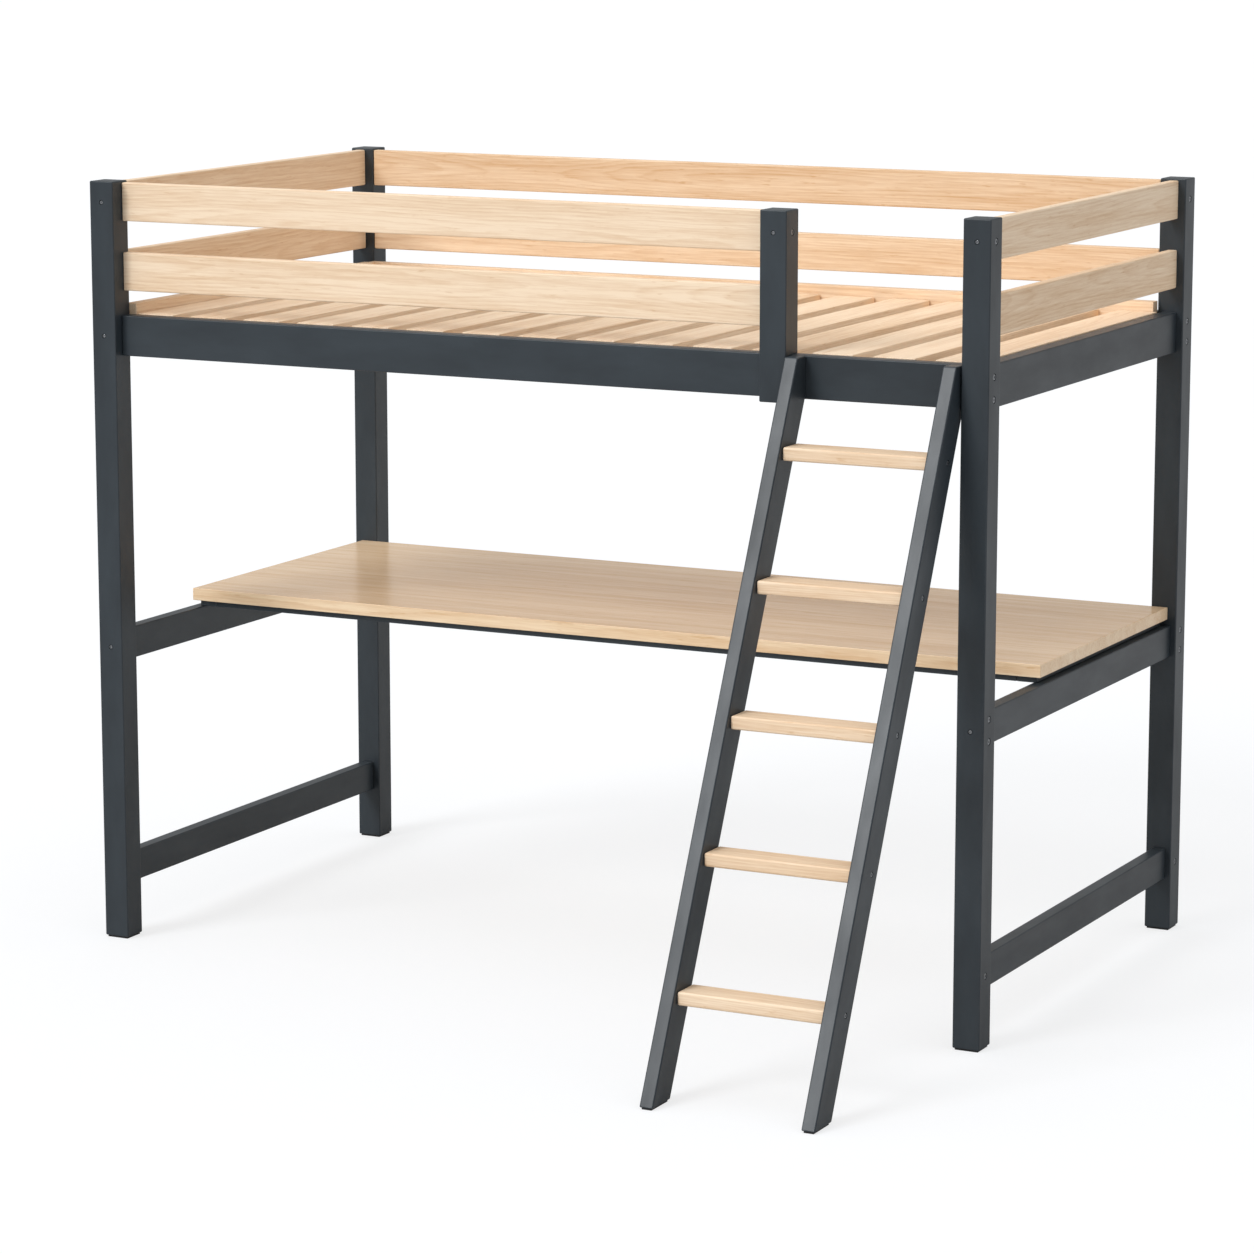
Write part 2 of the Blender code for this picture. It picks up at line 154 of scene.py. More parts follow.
class LoftBedSizes(bpy.types.PropertyGroup):
    """Sizes of edges, joints and fasteners."""

    fit: length("Fit", "Gap round a tenon, a spigot or a bolt", 0.0003)
    post_rounding: length("Post Rounding", "Radius of the posts' edges", 0.0028)
    rail_rounding: length("Rail Rounding", "Radius of the painted rails' edges", 0.0028)
    guard_rounding: length("Guard Rounding", "Radius of the guard rails' edges", 0.0032)
    slat_rounding: length("Slat Rounding", "Radius of the slats' edges", 0.0022)
    desktop_rounding: length("Desktop Rounding", "Radius of the desktop's edges", 0.0014)
    batten_rounding: length("Batten Rounding", "Radius of the edges of battens and strips", 0.0015)
    stile_rounding: length("Stile Rounding", "Radius of the ladder stiles' edges", 0.0030)
    tread_rounding: length("Tread Rounding", "Radius of the treads' edges", 0.0045)
    foot_rounding: length("Foot Rounding", "Radius of the plastic feet's edges", 0.0010)
    rounding_steps: IntProperty(
        name="Rounding Steps", description="Faces across a rounded edge", default=4, min=1, max=8
    )
    tenon: length("Tenon Length", "Length of every stub tenon", 0.014)
    rail_shoulder: length("Rail Shoulder", "Shoulder round a painted rail's tenon", 0.008)
    guard_shoulder: length("Guard Shoulder", "Shoulder round a guard rail's tenon", 0.005)
    tread_shoulder: length("Tread Shoulder", "Shoulder round a tread's tenon", 0.010)
    spigot: length("Spigot", "Width of the square spigot on a foot", 0.012)
    pad_height: length("Pad Height", "Thickness of a foot's pad", 0.004)
    stile_depth: length("Stile Depth", "Depth of a ladder stile, square to its slope", 0.072)
    stile_landing: length("Stile Landing", "Level top of a ladder stile, front to back", 0.040)
    bolt_head: length("Bolt Head Radius", "Radius of a bolt head in a post's side", 0.0062)
    screw_head: length("Screw Head Radius", "Radius of a screw head in a post's front", 0.0038)
    head_height: length("Head Height", "Thickness of a fastener's head", 0.0030)
    head_gap: length("Head Gap", "Gap between a head and its recess", 0.0014)
    head_depth: length("Head Depth", "How far a head lies below the surface", 0.0006)
    pair_spacing: length("Pair Spacing", "Distance between the two bolts of a pair", 0.046)
    ladder_bolt_head: length("Ladder Bolt Head", "Height of a ladder bolt's head", 0.005)
    ladder_bolt_shaft: length("Ladder Bolt Shaft", "Radius of a ladder bolt's shaft", 0.004)


class LoftBedFinishes(bpy.types.PropertyGroup):
    """Colours of the paint, the wood, the plastic and the steel."""

    paint: colour("Paint", "Charcoal paint", (0.037, 0.049, 0.060))
    paint_deep: colour("Paint Deep", "Charcoal paint, thickly laid", (0.019, 0.026, 0.033))
    wood: colour("Wood", "Light wood between its rings", (0.965, 0.778, 0.580))
    wood_ring: colour("Wood Ring", "Late growth in the light wood", (0.660, 0.400, 0.200))
    desk_wood: colour("Desk Wood", "Desktop wood between its rings", (0.990, 0.775, 0.535))
    desk_ring: colour("Desk Ring", "Late growth in the desktop", (0.760, 0.490, 0.260))
    plastic: colour("Plastic", "Black plastic of the feet", (0.014, 0.014, 0.015))
    steel: colour("Steel", "Dark steel of the fasteners", (0.210, 0.220, 0.235))


class LoftBedStudio(bpy.types.PropertyGroup):
    """Camera and light."""

    lens: FloatProperty(
        name="Lens", description="Focal length in millimetres", default=125.6, min=1, unit="CAMERA"
    )
    turn: angle("Turn", "Camera's turn to the left", 26.856)
    dip: angle("Dip", "Camera's dip below level", 10.348)
    stand: position("Stand", "Camera's place", (4.3526, -8.3479, 2.4797), "LENGTH")
    sky: brightness("Sky", "Light from all round", 0.44)
    key: brightness("Key", "Strength of the soft front light", 1.60)
    top: brightness("Top", "Strength of the soft overhead light", 1.15)
    top_spread: angle("Top Spread", "How wide the overhead light looks", 80)
    key_spread: angle("Key Spread", "How wide the front light looks", 24)
    key_from: position("Key From", "Direction of the front light", (-0.34, -0.74, 0.58), "NONE")


# ---------------------------------------------------------------- modelling


def only(piece):
    """Makes a piece the one selected object and the active one."""
    bpy.ops.object.select_all(action="DESELECT")
    piece.select_set(True)
    bpy.context.view_layer.objects.active = piece


def take_name(piece, name):
    piece.name = name
    piece.data.name = name
    return piece


def start_box(name, low, high):
    """A box between two corners, its place in its mesh."""
    bpy.ops.object.select_all(action="DESELECT")
    bpy.ops.mesh.primitive_cube_add(size=1, location=(low + high) / 2, scale=high - low)
    bpy.ops.object.transform_apply(location=True, rotation=True, scale=True)
    return take_name(bpy.context.object, name)


def start_disc(name, radius, low_z, high_z, sides=ROUND_SIDES):
    """An upright round or many-sided block on the Z axis."""
    bpy.ops.object.select_all(action="DESELECT")
    bpy.ops.mesh.primitive_cylinder_add(
        vertices=sides, radius=radius, depth=high_z - low_z, location=(0, 0, (low_z + high_z) / 2)
    )
    bpy.ops.object.transform_apply(location=True, rotation=True, scale=True)
    return take_name(bpy.context.object, name)


def edit(piece):
    only(piece)
    bpy.ops.object.mode_set(mode="EDIT")


def leave_edit():
    bpy.ops.object.mode_set(mode="OBJECT")


def pick(piece, kind, rule):
    """Selects the edges or faces that a rule names."""
    bpy.ops.mesh.select_mode(type=kind)
    bpy.ops.mesh.select_all(action="DESELECT")
    shape = bmesh.from_edit_mesh(piece.data)
    shape.normal_update()
    parts = shape.faces if kind == "FACE" else shape.edges
    for part in [part for part in parts if rule(part)]:
        part.select_set(True)
    bmesh.update_edit_mesh(piece.data)


def facing(direction, reach):
    """A rule for the flat faces that look along a direction and lie at its end."""
    return lambda face: (
        face.normal.dot(direction) > SAME_WAY
        and abs(face.calc_center_median().dot(direction) - reach) < SAME_PLACE
    )


def round_edges(piece, radius, steps, rule=None):
    """Rounds all edges of a piece, or those that a rule names."""
    edit(piece)
    pick(piece, "EDGE", rule or (lambda edge: True))
    bpy.ops.mesh.bevel(offset=radius, segments=steps, profile=0.5, affect="EDGES")
    leave_edit()


def above(height):
    """A rule for the edges that lie at a height or over it."""
    return lambda edge: all(vert.co.z > height - SAME_PLACE for vert in edge.verts)


def reach_of(piece, direction):
    """How far a piece reaches along a direction."""
    return max(vert.co.dot(direction) for vert in piece.data.vertices)


def box_of(points):
    """Lowest and highest corners round some points."""
    points = np.array(points)
    return Vector(points.min(axis=0)), Vector(points.max(axis=0))


def draw_out(piece, direction, shoulder, distance, width=None):
    """Insets the end face that looks along a direction and pulls it out, square if it has a width.

    It gives the room that the tenon or spigot needs.
    """
    reach = reach_of(piece, direction)
    edit(piece)
    pick(piece, "FACE", facing(direction, reach))
    bpy.ops.mesh.inset(thickness=shoulder, use_boundary=True, use_even_offset=True)
    pick(piece, "FACE", middle_face(piece, facing(direction, reach)))
    shape = bmesh.from_edit_mesh(piece.data)
    face = next(face for face in shape.faces if face.select)
    centre = face.calc_center_bounds()
    low, high = box_of([vert.co for vert in face.verts])
    if width:
        scale = Vector([width / side if side > SAME_PLACE else 1 for side in high - low])
        bpy.ops.transform.resize(value=scale, center_override=centre)
        low, high = (centre + (corner - centre) * scale for corner in (low, high))
    bpy.ops.mesh.extrude_region_move(TRANSFORM_OT_translate={"value": direction * distance})
    leave_edit()
    return room_for(low, high, direction, distance)


def middle_face(piece, rule):
    """A rule for the face in the middle of those that another rule finds."""
    shape = bmesh.from_edit_mesh(piece.data)
    found = [face for face in shape.faces if rule(face)]
    low, high = box_of([vert.co for face in found for vert in face.verts])
    middle = (low + high) / 2
    index = min(found, key=lambda face: (face.calc_center_median() - middle).length).index
    return lambda face: face.index == index


def room_for(low, high, direction, distance):
    """The room of a tenon or spigot with its fit, as a pair of corners."""
    fit = bpy.context.scene.loft_bed_sizes.fit
    across = Vector([0 if abs(part) > 0.5 else fit for part in direction])
    points = [low - across, high + across]
    points += [point + direction * (distance + fit) for point in points]
    return box_of(points)


def meet(low, high, other_low, other_high):
    """Whether two boxes overlap."""
    return all(low[i] < other_high[i] and other_low[i] < high[i] for i in range(3))


def subtract(piece, cutters):
    """Takes the cutters out of a piece, and removes them."""
    if not cutters:
        return
    only(cutters[0])
    for cutter in cutters:
        cutter.select_set(True)
    if len(cutters) > 1:
        bpy.ops.object.join()
    cutter = bpy.context.view_layer.objects.active
    only(piece)
    bpy.ops.object.modifier_add(type="BOOLEAN")
    modifier = piece.modifiers[-1]
    modifier.operation = "DIFFERENCE"
    modifier.solver = "EXACT"
    modifier.use_self = True
    modifier.object = cutter
    bpy.ops.object.modifier_apply(modifier=modifier.name)
    remove(cutter)


def mortise_cutters(piece):
    """A block for each remembered room that reaches into a piece."""
    low, high = box_of([vert.co for vert in piece.data.vertices])
    rooms = [room for room in mortises if meet(low, high, *room)]
    return [start_box(f"room_{number}", *room) for number, room in enumerate(rooms)]


def point_along(piece, place, direction):
    """Turns a piece modelled along +Z so that it looks along a direction, at a place."""
    piece.rotation_mode = "QUATERNION"
    piece.rotation_quaternion = direction.to_track_quat("Z", "Y")
    piece.location = place
    only(piece)
    bpy.ops.object.transform_apply(location=True, rotation=True, scale=True)
    return piece


def copy_of(piece, name):
    """A copy of a piece, with its own mesh."""
    only(piece)
    bpy.ops.object.duplicate(linked=False)
    return take_name(bpy.context.object, name)


def lay_grain(piece, along, across, cut, shade):
    """Stores where each point lies in its board: along, across and through the grain, in metres.

    Each cut starts further along the log and at its own distance from the heart. A board's shade
    says how much darker it is than the rest.
    """
    through = along.cross(across)
    count = len(piece.data.vertices)
    places = np.empty(count * 3, np.float32)
    piece.data.vertices.foreach_get("co", places)
    places = places.reshape(-1, 3)
    middle = (places.min(axis=0) + places.max(axis=0)) / 2
    turned = (places - middle) @ np.array([along, across, through], np.float32).T
    side = CUT_SIDE * math.sin(CUT_SIDE_TURN * cut)
    depth = CUT_DEPTH + CUT_DEPTH_SWAY * math.sin(CUT_DEPTH_TURN * cut + 1)
    shift = (CUT_START * cut, side, depth)
    grain = piece.data.attributes.new("grain", "FLOAT_VECTOR", "POINT")
    grain.data.foreach_set("vector", (turned + shift).astype(np.float32).ravel())
    tone = piece.data.attributes.new("shade", "FLOAT", "POINT")
    tone.data.foreach_set("value", np.full(count, shade, np.float32))


def finish(piece, nodes, slot, look, along=X, across=Z, cut=0, shade=0.0):
    """Smooths a piece, lays its grain, gives it its look and joins it to the frame."""
    only(piece)
    bpy.ops.object.shade_smooth_by_angle(angle=SMOOTH_ANGLE)
    bpy.ops.object.modifier_add(type="WEIGHTED_NORMAL")
    piece.modifiers[-1].keep_sharp = True
    bpy.ops.object.modifier_apply(modifier=piece.modifiers[-1].name)
    lay_grain(piece, along, across, cut, shade)
    piece.data.materials.clear()
    piece.data.materials.append(look)
    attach(piece, BODY)
    if nodes:
        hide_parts(*nodes)


def repeat(nodes, model, complete, ending="_piece"):
    """Models a piece once for the nodes of one size, and puts a copy of it in the place of each.

    The model function gives the piece and the rooms that its tenons or spigots need, and the
    complete function does what each copy has of its own.
    """
    pattern = rooms = origin = spans = None
    for number, node in enumerate(nodes):
        low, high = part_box(node)
        if pattern is None or (high - low - spans).length > SAME_PLACE:
            remove(pattern)
            pattern, rooms = model(low, high)
            origin, spans = low, high - low
        piece = copy_of(pattern, node + ending)
        piece.location = low - origin
        bpy.ops.object.transform_apply(location=True, rotation=True, scale=True)
        mortises.extend((near + low - origin, far + low - origin) for near, far in rooms)
        complete(piece, node, number)
    remove(pattern)


def remove(piece):
    """Deletes a pattern or a cutter that has done its work."""
    if piece:
        only(piece)
        bpy.ops.object.delete()


def nodes_named(start):
    """The nodes whose names start so, in order."""
    return sorted(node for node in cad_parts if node.startswith(start))


def directions(low, high):
    """Along the longest side of a board, and across its face."""
    order = sorted(range(3), key=lambda axis: (high - low)[axis])
    return (X, Y, Z)[order[2]], (X, Y, Z)[order[1]]


def model_board(low, high, rounding, shoulder):
    """A board with rounded edges and, if it has shoulders, a stub tenon on each end."""
    sizes = bpy.context.scene.loft_bed_sizes
    along = directions(low, high)[0]
    inset = along * sizes.tenon if shoulder else Vector()
    piece = start_box("board", low + inset, high - inset)
    round_edges(piece, rounding, sizes.rounding_steps)
    ends = (-along, along) if shoulder else ()
    return piece, [draw_out(piece, end, shoulder - rounding, sizes.tenon) for end in ends]


def make_boards(group, nodes, look, slot, rounding, shoulder=None, shades=(), bores=()):
    """Boards in the places of their nodes, each with its own cut of the wood.

    Some have a shade, and some have bores, each a function that gives its cutters.
    """
    shades, bores = dict(shades), dict(bores)

    def complete(piece, node, number):
        if node in bores:
            subtract(piece, bores[node]())
        along, across = directions(*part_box(node))
        cut, shade = FIRST_CUT[group] + number, shades.get(node, 0.0)
        finish(piece, [node], slot, look_of(look), along, across, cut, shade)

    repeat(nodes, lambda low, high: model_board(low, high, rounding, shoulder), complete)


# ---------------------------------------------------------------- materials


class Value:
    """A number socket that takes part in sums, each sum a Math node."""

    def __init__(self, recipe, socket):
        self.recipe = recipe
        self.socket = socket

    def math(self, operation, *values):
        sockets = dict(zip(("Value", "Value_001"), values))
        made = self.recipe.node("ShaderNodeMath", {"operation": operation}, sockets)
        return Value(self.recipe, made.outputs["Value"])

    def __add__(self, other):
        return self.math("ADD", self, other)

    def __radd__(self, other):
        return self.math("ADD", other, self)

    def __sub__(self, other):
        return self.math("SUBTRACT", self, other)

    def __rsub__(self, other):
        return self.math("SUBTRACT", other, self)

    def __mul__(self, other):
        return self.math("MULTIPLY", self, other)

    def __rmul__(self, other):
        return self.math("MULTIPLY", other, self)

    def __pow__(self, other):
        return self.math("POWER", self, other)

    def __abs__(self):
        return self.math("ABSOLUTE", self)

    def floor(self):
        return self.math("FLOOR", self)

    def fraction(self):
        return self.math("FRACT", self)

    def clamped(self):
        """The value, held between 0 and 1."""
        return self.math("MINIMUM", self.math("MAXIMUM", self, 0.0), 1.0)


class Recipe:
    """The nodes of a material or of the world."""

    def __init__(self, owner, shader="Principled BSDF", output="Material Output"):
        owner.use_nodes = True
        self.owner = owner
        self.tree = owner.node_tree
        self.shader = self.tree.nodes[shader]
        self.surface = self.tree.nodes[output].inputs["Surface"]

    def node(self, kind, settings=None, sockets=None):
        """Adds a node: its settings first, then the values or links of its sockets."""
        made = self.tree.nodes.new(kind)
        for name, value in (settings or {}).items():
            setattr(made, name, value)
        inputs = {socket.identifier: socket for socket in made.inputs}
        for name, value in (sockets or {}).items():
            self.feed(inputs[name], value)
        return made

    def feed(self, socket, value):
        if isinstance(value, Value):
            self.tree.links.new(value.socket, socket)
        elif isinstance(value, bpy.types.NodeSocket):
            self.tree.links.new(value, socket)
        else:
            socket.default_value = value

    def set_shader(self, **sockets):
        for name, value in sockets.items():
            self.feed(self.shader.inputs[name.replace("_", " ")], value)

    def show(self, seen):
        """Shows another shader where the camera looks straight at it."""
        ray = self.node("ShaderNodeLightPath").outputs["Is Camera Ray"]
        sockets = {"Fac": ray, "Shader": self.shader.outputs[0], "Shader_001": seen}
        self.feed(self.surface, self.node("ShaderNodeMixShader", None, sockets).outputs[0])

    def grain(self):
        """Places along, across and through the grain, as three values."""
        stored = self.stored("grain").outputs["Vector"]
        parts = self.node("ShaderNodeSeparateXYZ", None, {"Vector": stored})
        return [Value(self, parts.outputs[name]) for name in ("X", "Y", "Z")]

    def shade(self):
        """How much darker than the rest the board is."""
        return Value(self, self.stored("shade").outputs["Fac"])

    def stored(self, name):
        settings = {"attribute_name": name, "attribute_type": "GEOMETRY"}
        return self.node("ShaderNodeAttribute", settings)

    def vector(self, x, y, z):
        return self.node("ShaderNodeCombineXYZ", None, {"X": x, "Y": y, "Z": z}).outputs["Vector"]

    def noise(self, place, detail=2.0, roughness=0.5):
        """Noise from 0 to 1 with one feature to a unit of its place."""
        sockets = {"Vector": place, "Scale": 1.0, "Detail": detail, "Roughness": roughness}
        made = self.node("ShaderNodeTexNoise", {"noise_dimensions": "3D"}, sockets)
        return Value(self, made.outputs["Fac"])

    def spots(self, grain, to_a_metre, to_a_metre_across, detail=2.0, roughness=0.5):
        """Noise that follows the grain, with so many features to a metre along and across it."""
        along, across, through = grain
        wide = to_a_metre_across
        place = self.vector(along * to_a_metre, across * wide, through * wide)
        return self.noise(place, detail, roughness)

    def blend(self, amount, first, second):
        sockets = {"Factor_Float": amount, "A_Color": first, "B_Color": second}
        made = self.node("ShaderNodeMix", {"data_type": "RGBA"}, sockets)
        return next(socket for socket in made.outputs if socket.identifier == "Result_Color")

    def bump(self, height, distance, strength):
        sockets = {"Height": height, "Distance": distance, "Strength": strength}
        return self.node("ShaderNodeBump", None, sockets).outputs["Normal"]


def rgba(value):
    return (*value, 1.0)


def new_recipe(name):
    return Recipe(bpy.data.materials.new(name))


def wood(name, light, ring, roughness, contrast, gloss, stave=None):
    """Sawn and sanded wood: rings round a heart outside the board, with streaks, flecks and pores.

    Where a stave's width is given, the board is glued up from staves that differ a little in tone.
    """
    recipe = new_recipe(name)
    grain = along, across, through = recipe.grain()

    # Rings, bent by a slow sway, a slower drift and a fine ripple, each darkest just before its end
    sway = recipe.spots(grain, 1.6, 8.0, 2.0) - 0.5
    drift = recipe.noise(recipe.vector(along * 0.7, 4.0, 9.0), 1.0) - 0.5
    side = across + sway * 0.020
    depth = through + drift * 0.080 + sway * 0.014
    ripple = recipe.spots(grain, 11.0, 70.0, 3.0, 0.6) - 0.5
    rings = (side * side + depth * depth) ** 0.5 * (1 / RING_PITCH) + ripple * 0.9
    growth = rings.fraction()
    late = growth**2.4 * ((1 - growth) * 6.0).clamped()

    # Fibres, streaks and bands along the grain, a tone that changes down the board, and marks
    fibre = recipe.spots(grain, 16.0, 380.0, 3.0, 0.6)
    streak = recipe.spots(grain, 6.0, 170.0, 3.0, 0.65)
    band = recipe.spots(grain, 1.5, 30.0, 2.0)
    tone = recipe.noise(recipe.vector(along * 0.30, 2.0, 3.0), 1.0)
    flecks = ((recipe.spots(grain, 22.0, 170.0, 2.0, 0.6) - 0.645) * 10.0).clamped()
    pores = ((recipe.spots(grain, 45.0, 800.0, 1.0) - 0.66) * 9.0).clamped()

    # The share of the ring colour
    amount = 0.20 + (late - 0.1) * (0.55 * contrast) + (streak - 0.5) * (1.5 * contrast)
    amount = amount + (band - 0.5) * (1.3 * contrast) + (fibre - 0.5) * (0.9 * contrast)
    amount = amount + recipe.shade() + (tone - 0.5) * 0.7
    amount = amount + pores * 0.12 + flecks * (0.50 * contrast)
    if stave:
        lane = (across * (1 / stave)).floor()
        own = recipe.noise(recipe.vector(lane * 7.3, along * 0.25, lane * 3.1), 1.0)
        edge = abs((across * (1 / stave)).fraction() - 0.5)
        seam = ((edge - 0.4955) * 300.0).clamped()
        amount = amount + (own - 0.5) * 0.5 + seam * 0.20
    recipe.set_shader(
        Base_Color=recipe.blend(amount.clamped(), light, ring),
        Specular_IOR_Level=gloss,
        Roughness=roughness + (fibre - 0.5) * 0.10 - late * 0.03,
        Normal=recipe.bump(fibre * 0.6 - pores * 0.7 + late * 0.4 - flecks * 0.4, 0.00012, 0.35),
    )
    return recipe.owner


def charcoal_paint():
    """Sprayed satin paint: a soft cloud in its tone, a fine orange peel, a trace of the grain."""
    finishes = bpy.context.scene.loft_bed_finishes
    recipe = new_recipe("charcoal_paint")
    grain = recipe.grain()
    cloud = recipe.spots(grain, 5.0, 14.0, 3.0, 0.6)
    wash = recipe.spots(grain, 1.6, 5.0)
    peel = recipe.spots(grain, 520.0, 520.0)
    trace = recipe.spots(grain, 12.0, 300.0)
    amount = ((cloud - 0.5) * 1.5 + (wash - 0.5) * 1.2 + 0.5).clamped()
    recipe.set_shader(
        Base_Color=recipe.blend(amount, rgba(finishes.paint), rgba(finishes.paint_deep)),
        Roughness=0.38 + (cloud - 0.5) * 0.18 + (peel - 0.5) * 0.05,
        Specular_IOR_Level=0.42,
        Normal=recipe.bump(peel * 0.5 + trace * 0.7, 0.00010, 0.30),
    )
    return recipe.owner


def foot_plastic():
    """Moulded black plastic with a fine matt texture."""
    recipe = new_recipe("foot_plastic")
    grit = recipe.spots(recipe.grain(), 900.0, 900.0)
    recipe.set_shader(
        Base_Color=rgba(bpy.context.scene.loft_bed_finishes.plastic),
        Roughness=0.62 + (grit - 0.5) * 0.2,
        Normal=recipe.bump(grit, 0.00010, 0.4),
    )
    return recipe.owner


def fastener_steel():
    """Blackened steel, a little brighter and smoother in patches."""
    recipe = new_recipe("fastener_steel")
    patch = recipe.spots(recipe.grain(), 300.0, 300.0)
    steel = bpy.context.scene.loft_bed_finishes.steel
    recipe.set_shader(
        Base_Color=recipe.blend(patch, rgba(steel), rgba([part * 1.5 for part in steel])),
        Metallic=0.85,
        Roughness=0.30 + (patch - 0.5) * 0.2,
    )
    return recipe.owner


def light_wood():
    finishes = bpy.context.scene.loft_bed_finishes
    light, ring = rgba(finishes.wood), rgba(finishes.wood_ring)
    return wood("light_wood", light, ring, roughness=0.54, contrast=0.62, gloss=0.28)


def desk_wood():
    finishes = bpy.context.scene.loft_bed_finishes
    light, ring = rgba(finishes.desk_wood), rgba(finishes.desk_ring)
    return wood(
        "desk_wood", light, ring, roughness=0.23, contrast=0.80, gloss=0.50, stave=STAVE_WIDTH
    )


LOOKS = {
    "light_wood": light_wood,
    "desk_wood": desk_wood,
    "charcoal_paint": charcoal_paint,
    "foot_plastic": foot_plastic,
    "fastener_steel": fastener_steel,
}
made_looks = {}


def look_of(name):
    """One of the bed's looks, made when it is first asked for."""
    if name not in made_looks:
        made_looks[name] = LOOKS[name]()
    return made_looks[name]


# ---------------------------------------------------------------- fasteners


def middle_height(node):
    low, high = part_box(node)
    return (low.z + high.z) / 2


def pair_heights(node):
    half = bpy.context.scene.loft_bed_sizes.pair_spacing / 2
    return [middle_height(node) - half, middle_height(node) + half]


def post_fasteners(post):
    """(place on the surface, outward direction, head radius) of each fastener in a post."""
    sizes = bpy.context.scene.loft_bed_sizes
    low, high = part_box(post)
    centre = (low + high) / 2
    guards = [middle_height("guard_rail_front_upper")]
    if post == "guard_post":
        side, front = guards, guards
        outward_x, outward_y = X, -Y
    else:
        outward_x = X if "right" in post else -X
        outward_y = Y if "back" in post else -Y
        side = guards + pair_heights("side_rail_front") + pair_heights("desk_rail_right")
        side = side + [middle_height("floor_rail_right")]
        front = guards + [middle_height("desk_rail_right")]
        if "left" in post:
            front.append(middle_height("end_rail_left"))
    for outward, heights, radius in (
        (outward_x, side, sizes.bolt_head),
        (outward_y, front, sizes.screw_head),
    ):
        for height in heights:
            half = abs((high - low).dot(outward)) / 2
            place = Vector((centre.x, centre.y, height)) + outward * half
            yield place, outward, radius


def stile_fasteners(stile):
    """One bolt through the stile into the end of each tread."""
    sizes = bpy.context.scene.loft_bed_sizes
    low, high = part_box(stile)
    outward = X if "right" in stile else -X
    outer = high.x if "right" in stile else low.x
    for tread in nodes_named("ladder_tread_"):
        tread_low, tread_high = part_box(tread)
        middle = (tread_low + tread_high) / 2
        radius = sizes.bolt_head * TREAD_BOLT_SHARE
        yield Vector((outer, middle.y, middle.z)), outward, radius


def recess_cutters(places):
    """A round cutter for the recess of each fastener."""
    sizes = bpy.context.scene.loft_bed_sizes
    cutters = []
    for number, (place, outward, radius) in enumerate(places):
        bottom = -sizes.head_depth - sizes.head_height
        cutter = start_disc(f"recess_{number}", radius + sizes.head_gap, bottom, sizes.head_height)
        cutters.append(point_along(cutter, place, outward))
    return cutters


def model_head(name, radius):
    """A round head with a softened rim and a hexagonal socket, looking along +Z."""
    sizes = bpy.context.scene.loft_bed_sizes
    top = -sizes.head_depth
    head = start_disc(name, radius, top - sizes.head_height + sizes.fit, top)
    round_edges(head, radius * HEAD_RIM, RIM_STEPS, above(top))
    cut_socket(head, radius, top, sizes.head_height)
    return head


def cut_socket(head, radius, top, height):
    """Cuts a hexagonal socket into the top of a head."""
    bottom = top - height * SOCKET_DEPTH
    socket = start_disc("socket", radius * SOCKET_WIDTH, bottom, top + CLEAR, SOCKET_SIDES)
    subtract(head, [socket])


def fasten(owner, places):
    """Copies a head into each recess and joins them into one group."""
    heads = []
    patterns = {}
    for number, (place, outward, radius) in enumerate(places):
        if radius not in patterns:
            patterns[radius] = model_head(f"head_pattern_{len(patterns)}", radius)
        head = copy_of(patterns[radius], f"head_{number}")
        heads.append(point_along(head, place, outward))
    for pattern in patterns.values():
        remove(pattern)
    only(heads[0])
    for head in heads:
        head.select_set(True)
    bpy.ops.object.join()
    group = take_name(bpy.context.object, owner + "_fasteners")
    finish(group, [], "hardware", look_of("fastener_steel"))


# ---------------------------------------------------------------- pieces


class LOFTBED_OT_bed_rails(bpy.types.Operator):
    """Builds the four painted rails that carry the bed"""

    bl_idname = "loftbed.bed_rails"
    bl_label = "Bed Rails"

    def execute(self, context):
        sizes = context.scene.loft_bed_sizes
        nodes = ["side_rail_front", "side_rail_back", "end_rail_left", "end_rail_right"]
        bores = {"side_rail_front": ladder_bolt_cutters}
        rounding, shoulder = sizes.rail_rounding, sizes.rail_shoulder
        make_boards("bed_rails", nodes, *PAINTED, rounding, shoulder, bores=bores)
        return {"FINISHED"}


class LOFTBED_OT_lower_rails(bpy.types.Operator):
    """Builds the painted rails below the desk and near the floor"""

    bl_idname = "loftbed.lower_rails"
    bl_label = "Lower Rails"

    def execute(self, context):
        sizes = context.scene.loft_bed_sizes
        nodes = ["desk_rail_left", "desk_rail_right", "floor_rail_left", "floor_rail_right"]
        make_boards("lower_rails", nodes, *PAINTED, sizes.rail_rounding, sizes.rail_shoulder)
        return {"FINISHED"}


class LOFTBED_OT_guard_rails(bpy.types.Operator):
    """Builds the eight light guard rails"""

    bl_idname = "loftbed.guard_rails"
    bl_label = "Guard Rails"

    def execute(self, context):
        sizes = context.scene.loft_bed_sizes
        sides = ("front", "back", "left", "right")
        nodes = [f"guard_rail_{side}_{level}" for side in sides for level in ("upper", "lower")]
        rounding, shoulder = sizes.guard_rounding, sizes.guard_shoulder
        make_boards("guard_rails", nodes, *LIGHT, rounding, shoulder, GUARD_SHADES)
        return {"FINISHED"}


class LOFTBED_OT_slats(bpy.types.Operator):
    """Builds the slats"""

    bl_idname = "loftbed.slats"
    bl_label = "Slats"

    def execute(self, context):
        nodes = [node for node in nodes_named("slat_") if "ledge" not in node]
        make_boards("slats", nodes, *LIGHT, context.scene.loft_bed_sizes.slat_rounding)
        return {"FINISHED"}


